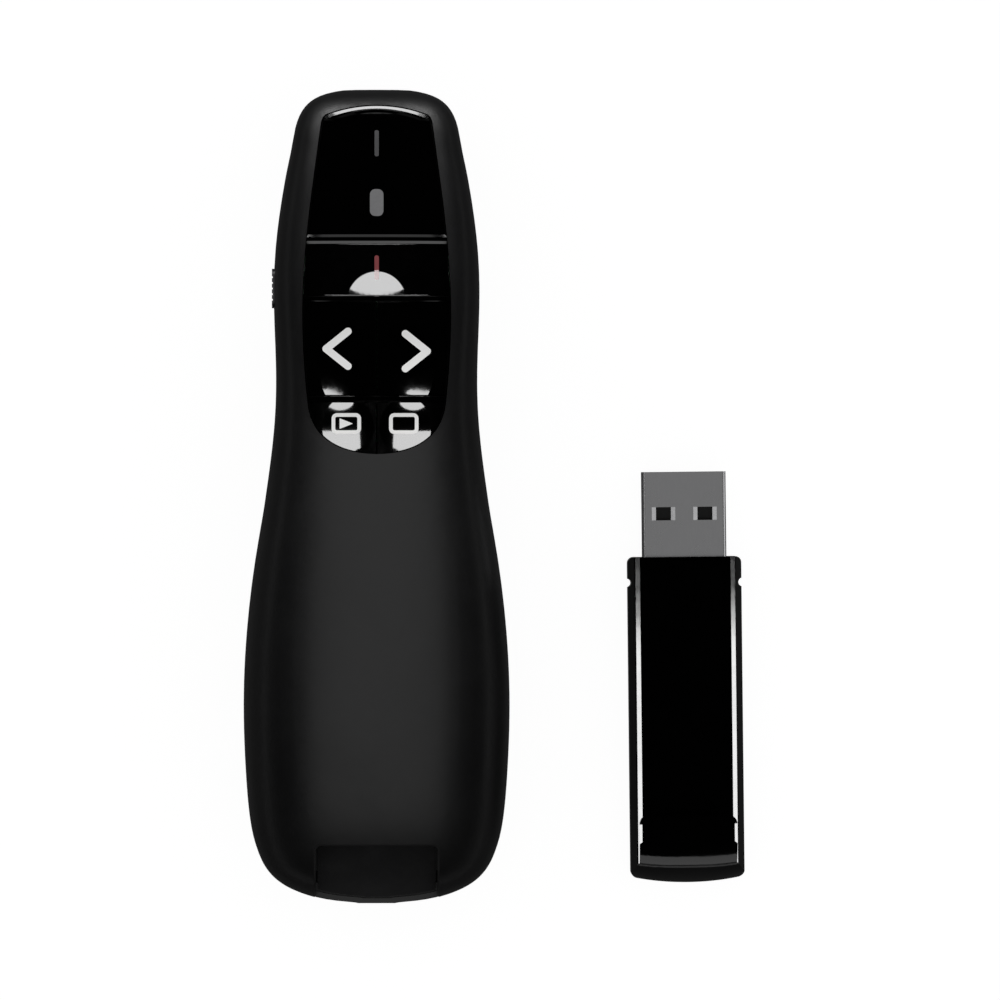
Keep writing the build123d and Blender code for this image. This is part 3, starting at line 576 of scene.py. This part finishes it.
def pick(piece: bpy.types.Object) -> None:
    """Makes one object the only selected and active one.

    Args:
        piece: The object.
    """
    clear_selection()
    piece.select_set(True)
    bpy.context.view_layer.objects.active = piece


def settle(piece: bpy.types.Object) -> None:
    """Moves a piece's place, turn and scale into its mesh.

    Args:
        piece: The object.
    """
    pick(piece)
    bpy.ops.object.transform_apply(location=True, rotation=True, scale=True)


def select_vertices(piece: bpy.types.Object, wanted: Any) -> None:
    """Selects vertices in edit mode by their place.

    Args:
        piece: The object, already in edit mode.
        wanted: A function of a vertex's local place that returns True for the ones to select.
    """
    bpy.ops.mesh.select_all(action="DESELECT")
    bpy.ops.object.mode_set(mode="OBJECT")
    for vertex in piece.data.vertices:
        vertex.select = bool(wanted(vertex.co))
    bpy.ops.object.mode_set(mode="EDIT")


def apply_modifier(piece: bpy.types.Object, kind: str, **settings: Any) -> None:
    """Adds a modifier to a piece and applies it.

    Args:
        piece: The object.
        kind: The modifier's type.
        **settings: Its properties.
    """
    pick(piece)
    modifier = piece.modifiers.new(kind.lower(), kind)
    for name, value in settings.items():
        setattr(modifier, name, value)
    bpy.ops.object.modifier_apply(modifier=modifier.name)


@dataclass
class Print:
    """A mark printed on a key: drawn flat, laid on the key's surface and given its ink's thickness.

    Attributes:
        node: The CAD node that carries the mark.
        body: The body that it moves with.
        ink: Thickness of the ink in metres; half of it stands above the surface.
        mesh_step: Distance between the cuts that let the mark follow the surface.
    """

    node: str
    body: str
    ink: float = 0.05 * MM
    mesh_step: float = 0.45 * MM

    def lay(self, flat: bpy.types.Object) -> bpy.types.Object:
        """Lays a flat drawing on the key.

        Args:
            flat: A flat mesh over the key, drawn in the XY plane.

        Returns:
            The finished mark.
        """
        settle(flat)
        low = Vector(min(v.co[i] for v in flat.data.vertices) for i in range(3))
        high = Vector(max(v.co[i] for v in flat.data.vertices) for i in range(3))
        bpy.ops.object.mode_set(mode="EDIT")
        for axis in (0, 1):
            normal = Vector((0, 0, 0))
            normal[axis] = 1
            for i in range(1, math.ceil((high[axis] - low[axis]) / self.mesh_step)):
                point = low.copy()
                point[axis] += i * self.mesh_step
                bpy.ops.mesh.select_all(action="SELECT")
                bpy.ops.mesh.bisect(plane_co=point, plane_no=normal)
        bpy.ops.object.mode_set(mode="OBJECT")
        apply_modifier(flat, "SHRINKWRAP", target=frame["nodes"][self.node], wrap_method="PROJECT",
                       use_project_z=True, use_negative_direction=True, use_positive_direction=False)
        apply_modifier(flat, "SOLIDIFY", thickness=self.ink, offset=0.0)
        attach(flat, self.body)
        return flat


# ---------------------------------------------------------------- sub-assemblies
@dataclass
class SubAssembly:
    """A group of CAD nodes with their finishes.

    Attributes:
        title: Name for the log.
        looks: Finish name by CAD node.
    """

    title: str
    looks: dict[str, str] = field(default_factory=dict)

    def dress(self, materials: dict[str, bpy.types.Material]) -> None:
        """Gives each CAD node its finish.

        Args:
            materials: The finished materials by name.
        """
        for node, look in self.looks.items():
            piece = frame["nodes"][node]
            piece.data.materials.clear()
            piece.data.materials.append(materials[look])
            log.info("%s: %s in %s", self.title, node, look)

    def build(self, materials: dict[str, bpy.types.Material]) -> None:
        """Models what the CAD nodes don't have; nothing here.

        Args:
            materials: The finished materials by name.
        """


@dataclass
class Housing(SubAssembly):
    """The two shells, the battery door and the power slider."""

    title: str = "housing"
    looks: dict[str, str] = field(default_factory=lambda: {
        "top_shell": "soft_touch",
        "bottom_shell": "soft_touch",
        "battery_door": "soft_touch",
        "power_slider": "slider_black",
        "power_switch_lever": "plunger_black",
        "power_switch_body": "tinned_steel",
        "inner_chassis": "inner_black",
        "housing_screws": "zinc_steel",
        "board_screws": "zinc_steel",
        "dock_springs": "spring_steel",
    })


@dataclass
class KeyPanel(SubAssembly):
    """The glossy panel: its frame, keys, lights and printed marks.

    Attributes:
        arrow_apex: Distance of an arrow's point from the middle line.
        arrow_y: Height of the arrows' points along Y, left and right.
        arrow_reach: Half height and depth of an arrow.
        arrow_stroke: Stroke of an arrow.
        screen: Width, height, corner radius and stroke of the screen mark.
        play_screen: Centre of the left screen mark.
        blank_screen: Centre of the right screen mark.
        play_size: Width and height of the play triangle.
        red_line: Width, and lower and upper end along Y, of the red line.
        above: Height at which the marks are drawn flat before they are laid on the keys.
        play_corner: Corner radius of the play triangle.
        line_corner: Corner radius of the red line, as a share of its width.
    """

    title: str = "key panel"
    looks: dict[str, str] = field(default_factory=lambda: {
        "button_bezel": "gloss_black",
        **{f"{key}_button": "gloss_black" for key in KEYS},
        **{f"{key}_switch_plunger": "plunger_black" for key in KEYS},
        "status_light_pipe": "smoked_window",
        "signal_light_pipe": "smoked_line",
    })
    arrow_apex: float = 7.11 * MM
    arrow_y: Point = (20.89 * MM, 20.55 * MM)
    arrow_reach: Point = (2.45 * MM, 3.07 * MM)
    arrow_stroke: float = 1.05 * MM
    screen: tuple[float, float, float, float] = (4.15 * MM, 2.95 * MM, 0.75 * MM, 0.52 * MM)
    play_screen: Point = (-4.27 * MM, 10.35 * MM)
    blank_screen: Point = (3.81 * MM, 10.35 * MM)
    play_size: Point = (1.9 * MM, 1.5 * MM)
    red_line: tuple[float, float, float] = (0.62 * MM, 30.6 * MM, 34.05 * MM)
    above: float = 40 * MM
    play_corner: float = 0.12 * MM
    line_corner: float = 0.45

    def arrow(self, name: str, hand: Hand) -> bpy.types.Object:
        """Draws an arrow flat over the panel: one rounded arm, cut at the middle and mirrored.

        Args:
            name: The piece's name.
            hand: Which way it points.

        Returns:
            The flat drawing.
        """
        rise, depth = self.arrow_reach
        clear_selection()
        bpy.ops.mesh.primitive_circle_add(vertices=32, radius=self.arrow_stroke / 2, fill_type="NGON")
        piece = bpy.context.object
        piece.name = name
        arm = Vector((-hand.value * depth, rise, 0))
        bpy.ops.object.mode_set(mode="EDIT")
        select_vertices(piece, lambda co: co.dot(arm) > -NEAR_ZERO)
        bpy.ops.transform.translate(value=arm)
        bpy.ops.mesh.select_all(action="SELECT")
        bpy.ops.mesh.bisect(plane_co=(0, 0, 0), plane_no=(0, 1, 0), clear_inner=True)
        bpy.ops.object.mode_set(mode="OBJECT")
        apply_modifier(piece, "MIRROR", use_axis=(False, True, False), merge_threshold=0.002 * MM)
        place = self.arrow_y[0 if hand is Hand.LEFT else 1]
        piece.location = (hand.value * self.arrow_apex, place, self.above)
        return piece

    def screen_outline(self, name: str, centre: Point) -> bpy.types.Object:
        """Draws a screen as a rounded frame.

        Args:
            name: The piece's name.
            centre: The frame's centre.

        Returns:
            The flat drawing.
        """
        width, height, corner, stroke = self.screen
        clear_selection()
        bpy.ops.mesh.primitive_plane_add(size=1, location=(*centre, self.above))
        piece = bpy.context.object
        piece.name = name
        piece.scale = (width, height, 1)
        settle(piece)
        bpy.ops.object.mode_set(mode="EDIT")
        bpy.ops.mesh.select_all(action="SELECT")
        bpy.ops.mesh.bevel(affect="VERTICES", offset=corner, segments=6)
        bpy.ops.mesh.select_all(action="SELECT")
        bpy.ops.mesh.inset(thickness=stroke)
        bpy.ops.mesh.delete(type="FACE")
        bpy.ops.object.mode_set(mode="OBJECT")
        return piece

    def play_triangle(self, name: str, centre: Point) -> bpy.types.Object:
        """Draws the small play triangle in the left screen.

        Args:
            name: The piece's name.
            centre: The screen's centre.

        Returns:
            The flat drawing.
        """
        clear_selection()
        x, y = centre
        width, height = self.play_size
        bpy.ops.mesh.primitive_circle_add(vertices=3, radius=1, fill_type="NGON",
                                          location=(x - width / 6, y, self.above),
                                          rotation=(0, 0, math.radians(-90)))
        piece = bpy.context.object
        piece.name = name
        piece.scale = (height / math.sqrt(3), width / 1.5, 1)
        settle(piece)
        bpy.ops.object.mode_set(mode="EDIT")
        bpy.ops.mesh.select_all(action="SELECT")
        bpy.ops.mesh.bevel(affect="VERTICES", offset=self.play_corner, segments=3)
        bpy.ops.object.mode_set(mode="OBJECT")
        return piece

    def laser_line(self, name: str) -> bpy.types.Object:
        """Draws the red line of the laser key.

        Args:
            name: The piece's name.

        Returns:
            The flat drawing.
        """
        width, low, high = self.red_line
        clear_selection()
        bpy.ops.mesh.primitive_plane_add(size=1, location=(0, (low + high) / 2, self.above))
        piece = bpy.context.object
        piece.name = name
        piece.scale = (width, high - low, 1)
        settle(piece)
        bpy.ops.object.mode_set(mode="EDIT")
        bpy.ops.mesh.select_all(action="SELECT")
        bpy.ops.mesh.bevel(affect="VERTICES", offset=width * self.line_corner, segments=4)
        bpy.ops.object.mode_set(mode="OBJECT")
        return piece

    def build(self, materials: dict[str, bpy.types.Material]) -> None:
        """Prints the marks on the keys.

        Args:
            materials: The finished materials by name.
        """
        marks = [
            ("back", self.arrow("back_arrow_mark", Hand.LEFT), "print_white"),
            ("forward", self.arrow("forward_arrow_mark", Hand.RIGHT), "print_white"),
            ("play", self.screen_outline("play_screen_mark", self.play_screen), "print_white"),
            ("play", self.play_triangle("play_triangle_mark", self.play_screen), "print_white"),
            ("blank", self.screen_outline("blank_screen_mark", self.blank_screen), "print_white"),
            ("laser", self.laser_line("laser_line_mark"), "print_red"),
        ]
        for key, flat, look in marks:
            mark = Print(f"{key}_button", f"{key}_key").lay(flat)
            mark.data.materials.append(materials[look])
            log.info("%s: %s printed", self.title, mark.name)


@dataclass
class LaserUnit(SubAssembly):
    """Laser pointer: barrel, lens, diode and its driver."""

    title: str = "laser unit"
    looks: dict[str, str] = field(default_factory=lambda: {
        "laser_barrel": "turned_brass",
        "laser_lens": "lens_clear",
        "laser_diode": "zinc_steel",
        "laser_driver_board": "board_mask",
        "laser_wires": "wire_red",
        "laser_foam_pad": "foam",
        "laser_aperture_ring": "gloss_black",
        "laser_window": "lens_clear",
    })


@dataclass
class Electronics(SubAssembly):
    """Main board with everything soldered to it."""

    title: str = "electronics"
    looks: dict[str, str] = field(default_factory=lambda: {
        "main_board": "board_mask",
        "tact_switch_bodies": "switch_tin",
        "microcontroller_chip": "chip_epoxy",
        "rf_shield_can": "tinned_steel",
        "crystal_oscillator": "tinned_steel",
        "chip_antenna": "capacitor_tan",
        "chip_capacitors": "capacitor_tan",
        "status_leds": "led_clear",
    })


@dataclass
class PowerPack(SubAssembly):
    """Two cells with their contacts and wires."""

    title: str = "power pack"
    looks: dict[str, str] = field(default_factory=lambda: {
        "battery_cell_left": "cell_left_sleeve",
        "battery_cell_right": "cell_right_sleeve",
        "contact_springs": "spring_steel",
        "contact_plates": "tinned_steel",
        "series_link_plate": "tinned_steel",
        "battery_wire_red": "wire_red",
        "battery_wire_black": "wire_black",
    })


@dataclass
class Receiver(SubAssembly):
    """USB receiver lying beside the remote."""

    title: str = "receiver"
    looks: dict[str, str] = field(default_factory=lambda: {
        "receiver_top_cover": "gloss_black",
        "receiver_bottom_cover": "gloss_black",
        "receiver_board": "board_mask",
        "receiver_components": "chip_epoxy",
        "usb_shell": "plug_steel",
        "usb_tongue": "tongue_black",
        "usb_contacts": "gold_flash",
    })


# ---------------------------------------------------------------- studio
RECEIVER_COVERS = ("receiver_top_cover", "receiver_bottom_cover")
PLUG = ("usb_shell",)
BEZEL = ("button_bezel",)
SHELLS = ("top_shell", "bottom_shell")
LASER_KEY = ("laser_button", "laser_line_mark")
ARROW_KEYS = ("back_button", "forward_button")
SCREEN_KEYS = ("play_button", "blank_button")
MATT_PIECES = (*SHELLS, "inner_chassis", "battery_door", "power_slider", *PLUG,
               "back_arrow_mark", "forward_arrow_mark", "play_screen_mark", "play_triangle_mark",
               "blank_screen_mark")
PANEL_PRINT = ("status_light_pipe", "signal_light_pipe", "laser_line_mark")

# Where the softboxes point, and how near the two small ones stand that light only the nose end
NOSE_SHOULDER: Place = (0.0, 46 * MM, 20 * MM)
NOSE_EDGE: Place = (0.0, 54 * MM, 20 * MM)
RIBS: Place = (0.0, 28 * MM, 23 * MM)
LASER_WELL: Place = (0.0, 30 * MM, 23 * MM)
ARROW_WELLS: Place = (0.0, 15 * MM, 23.5 * MM)
SCREEN_WELLS: Place = (0.0, 9 * MM, 24 * MM)
SCREEN_RIMS: Place = (0.0, 12 * MM, 24 * MM)
RECEIVER_LEFT: Place = (44 * MM, -194 * MM, 6 * MM)
RECEIVER_RIGHT: Place = (44 * MM, -178 * MM, 6 * MM)
RECEIVER_TAIL: Place = (44 * MM, -52 * MM, 5 * MM)
PLUG_MIDDLE: Place = (44 * MM, -3 * MM, 4 * MM)
NEAR = 0.16


def inner_pieces() -> tuple[str, ...]:
    """Lists the pieces that none of the outer lamps is meant for.

    Returns:
        Their names.
    """
    outer = {*MATT_PIECES, *PANEL_PRINT, *RECEIVER_COVERS, *BEZEL, *LASER_KEY, *ARROW_KEYS, *SCREEN_KEYS,
             "floor"}
    return tuple(piece.name for piece in bpy.data.objects
                 if piece.type in ("MESH", "CURVE") and piece.name not in outer)


@dataclass(frozen=True)
class Softbox:
    """A flat lamp that points at one place of the object.

    Attributes:
        name: The lamp's name.
        azimuth: Where it stands, in degrees from +X towards +Y.
        elevation: Its height above the horizon, in degrees.
        size: Width and height in metres.
        radiance: How bright its face is, where 1 is white.
        aim: The place that it points at, in metres.
        only: The pieces that it lights, or none for everything.
        glint: Whether it only shows as a reflection, which pieces outside `only` don't block.
        face: The outline of its face.
        distance: How far it stands off, in metres.
    """

    name: str
    azimuth: float
    elevation: float
    size: Point
    radiance: float
    aim: Place = (15 * MM, 0.0, 13 * MM)
    only: tuple[str, ...] = ()
    glint: bool = True
    face: Face = Face.RECTANGLE
    distance: float = 0.8

    def build(self) -> bpy.types.Object:
        """Adds the lamp.

        Returns:
            The lamp's object.
        """
        data = bpy.data.lights.new(self.name, "AREA")
        data.shape = self.face.name
        data.size, data.size_y = self.size
        area = self.size[0] * self.size[1] * self.face.value
        data.energy = self.radiance * math.pi * area
        lamp = bpy.data.objects.new(self.name, data)
        bpy.context.scene.collection.objects.link(lamp)
        turn, rise = math.radians(self.azimuth), math.radians(self.elevation)
        away = Vector((math.cos(turn) * math.cos(rise), math.sin(turn) * math.cos(rise), math.sin(rise)))
        lamp.location = Vector(self.aim) + away * self.distance
        lamp.rotation_euler = away.to_track_quat("Z", "Y").to_euler()
        lamp.visible_camera = False
        if self.only:
            lit = bpy.data.collections.new(f"{self.name}_lit")
            for name in self.only:
                lit.objects.link(bpy.data.objects[name])
            lamp.light_linking.receiver_collection = lit
            if self.glint:
                lamp.light_linking.blocker_collection = lit
                lamp.visible_diffuse = False
        return lamp


@dataclass
class Studio:
    """Floor, lamps, world and camera.

    Attributes:
        lens: Focal length in millimetres.
        field_width: Width of the picture at the plane of the parting line, in metres.
        sensor: Sensor width in millimetres.
        plane_z: Height of that plane.
        aim: Point of that plane in the middle of the picture.
        floor_size: Width of the floor.
        floor_drop: How far the floor lies below the object.
        floor_paint: Colour of the floor.
        floor_glow: How bright the floor shows to the camera, where 1 is white.
        glow_band: Distances between which the floor's reflection rises from black to that glow.
        horizon_top: Heights, from 0 to 1, between which the mirrored horizon fades out.
        horizon: How bright the mirrored horizon is.
        fill: Level of the even light from all round.
        softboxes: The lamps.
    """

    lens: float = 250.0
    sensor: float = 36.0
    field_width: float = 142.24 * MM
    plane_z: float = 13.0 * MM
    aim: Point = (17.54 * MM, -0.4 * MM)
    floor_size: float = 6.0
    floor_drop: float = 0.02 * MM
    floor_paint: float = 0.3
    floor_glow: float = 0.95
    glow_band: Point = (0.25, 1.2)
    horizon_top: Point = (0.02, 0.1)
    horizon: float = 0.6
    fill: float = 0.2
    softboxes: tuple[Softbox, ...] = (
        # Plain light from the nose end for what isn't gloss black
        Softbox("front_softbox", 90, 30, (0.8, 0.2), 10.0, only=(*MATT_PIECES, *PANEL_PRINT), glint=False),
        Softbox("left_flank_light", 128, 38, (0.1, 0.08), 2.6, NOSE_SHOULDER, SHELLS, glint=False,
                distance=NEAR),
        Softbox("right_flank_light", 52, 38, (0.1, 0.08), 1.8, NOSE_SHOULDER, SHELLS, glint=False,
                distance=NEAR),
        # Reflections on the panel's nose edge and ribs
        Softbox("nose_softbox", 90, 12, (0.85, 0.26), 12.0, NOSE_EDGE, BEZEL),
        Softbox("rib_light_front", 90, 29, (1.0, 0.13), 0.6, RIBS, BEZEL),
        Softbox("rib_light_rear", -90, 41.6, (1.0, 0.13), 1.6, RIBS, BEZEL),
        # Plain light from above
        Softbox("overhead_softbox", -90, 87.5, (0.74, 1.15), 0.88, only=MATT_PIECES, glint=False),
        # Reflections on the receiver and its plug
        Softbox("left_strip", 180, 42, (0.31, 0.12), 18.0, RECEIVER_LEFT, RECEIVER_COVERS),
        Softbox("right_strip", 0, 42, (0.31, 0.12), 18.0, RECEIVER_RIGHT, RECEIVER_COVERS),
        Softbox("plug_left_wall", 180, 8, (0.5, 1.5), 2.6, PLUG_MIDDLE, PLUG),
        Softbox("plug_right_wall", 0, 8, (0.5, 1.5), 2.6, PLUG_MIDDLE, PLUG),
        Softbox("receiver_tail_light", -90, 16, (0.7, 0.26), 0.9, RECEIVER_TAIL, RECEIVER_COVERS),
        # Reflections in the keys' finger wells
        Softbox("laser_key_light", -90, 77.8, (0.84, 0.28), 12.5, LASER_WELL, LASER_KEY, face=Face.ELLIPSE),
        Softbox("arrow_key_light", 86.5, 66.5, (0.17, 0.055), 12.5, ARROW_WELLS, ARROW_KEYS,
                face=Face.ELLIPSE),
        Softbox("screen_key_light", 90, 61.5, (0.69, 0.326), 12.5, SCREEN_WELLS, SCREEN_KEYS),
        Softbox("screen_rim_light", -90, 71, (0.46, 0.31), 12.5, SCREEN_RIMS, SCREEN_KEYS, face=Face.ELLIPSE),
    )

    def floor(self) -> None:
        """Lays a pale floor that shows white to the camera and keeps a faint shadow."""
        clear_selection()
        bpy.ops.mesh.primitive_grid_add(x_subdivisions=4, y_subdivisions=4, size=self.floor_size,
                                        location=(0, 0, -self.floor_drop))
        floor = bpy.context.object
        floor.name = "floor"
        material, sheet, shader = start_material("pale_floor")
        shader.inputs["Base Color"].default_value = (self.floor_paint,) * 3 + (1.0,)
        shader.inputs["Roughness"].default_value = 0.9
        shader.inputs["Specular IOR Level"].default_value = 0.0
        rays = sheet.add("ShaderNodeLightPath")
        place = sheet.add("ShaderNodeTexCoord")
        away = sheet.add("ShaderNodeVectorMath", {0: place.outputs["Object"]}, operation="LENGTH")
        near, wide = self.glow_band
        far = sheet.add("ShaderNodeMapRange", {0: away.outputs["Value"], 1: near, 2: wide}).outputs[0]
        shiny = sheet.calc("MAXIMUM", rays.outputs["Is Glossy Ray"], rays.outputs["Is Transmission Ray"])
        seen = sheet.calc("MAXIMUM", rays.outputs["Is Camera Ray"], sheet.calc("MULTIPLY", shiny, far))
        level = sheet.calc("MULTIPLY", seen, self.floor_glow)
        glow = sheet.add("ShaderNodeEmission", {0: (1, 1, 1, 1), 1: level})
        both = sheet.add("ShaderNodeAddShader", {0: shader.outputs[0], 1: glow.outputs[0]})
        output = material.node_tree.nodes["Material Output"]
        material.node_tree.links.new(both.outputs[0], output.inputs["Surface"])
        floor.data.materials.append(material)

    def world(self) -> None:
        """Makes the room: pale round the horizon, a dark ceiling, and a little fill light."""
        world = bpy.data.worlds.new("studio_world")
        bpy.context.scene.world = world
        world.use_nodes = True
        sheet = Sheet(world.node_tree)
        back = world.node_tree.nodes["Background"]
        rays, place = sheet.add("ShaderNodeLightPath"), sheet.add("ShaderNodeTexCoord")
        height = sheet.add("ShaderNodeSeparateXYZ", {0: place.outputs["Generated"]}).outputs[2]
        low, high = self.horizon_top
        low_band = sheet.add("ShaderNodeMapRange",
                             {0: height, 1: low, 2: high, 3: self.horizon, 4: 0.0}).outputs[0]
        shiny = sheet.calc("MAXIMUM", rays.outputs["Is Glossy Ray"], rays.outputs["Is Transmission Ray"])
        strength = sheet.calc("MAXIMUM", rays.outputs["Is Camera Ray"],
                              sheet.calc("MULTIPLY", shiny, low_band))
        fill = sheet.calc("MULTIPLY", rays.outputs["Is Diffuse Ray"], self.fill)
        world.node_tree.links.new(sheet.calc("MAXIMUM", strength, fill), back.inputs["Strength"])
        back.inputs["Color"].default_value = (1, 1, 1, 1)

    def camera(self) -> None:
        """Stands the camera straight above the remote, aimed between the remote and its receiver."""
        data = bpy.data.cameras.new("camera")
        data.lens, data.sensor_width, data.sensor_fit = self.lens, self.sensor, "HORIZONTAL"
        data.clip_start, data.clip_end = 0.01, 20.0
        camera = bpy.data.objects.new("camera", data)
        bpy.context.scene.collection.objects.link(camera)
        distance = self.lens / self.sensor * self.field_width
        camera.location = (0, 0, self.plane_z + distance)
        target = Vector((*self.aim, self.plane_z))
        back = (camera.location - target).normalized()
        right = Vector((0, 1, 0)).cross(back).normalized()
        camera.rotation_euler = Matrix((right, back.cross(right), back)).transposed().to_euler()
        bpy.context.scene.camera = camera

    def build(self) -> None:
        """Builds the whole studio."""
        self.floor()
        inner = Softbox("inner_softbox", -40, 28, (0.7, 0.7), 2.6, only=inner_pieces(), glint=False)
        for softbox in (*self.softboxes, inner):
            softbox.build()
        self.world()
        self.camera()
        bpy.context.scene.view_settings.view_transform = "Standard"
        log.info("studio: floor, %d softboxes, world and camera", len(self.softboxes) + 1)


def main() -> None:
    """Builds every sub-assembly and then the studio."""
    logging.basicConfig(level=logging.INFO, format="%(name)s: %(message)s")
    materials = finishes()
    for group in (Housing(), KeyPanel(), LaserUnit(), Electronics(), PowerPack(), Receiver()):
        group.dress(materials)
        group.build(materials)
    Studio().build()


if __name__ == "__main__":
    main()
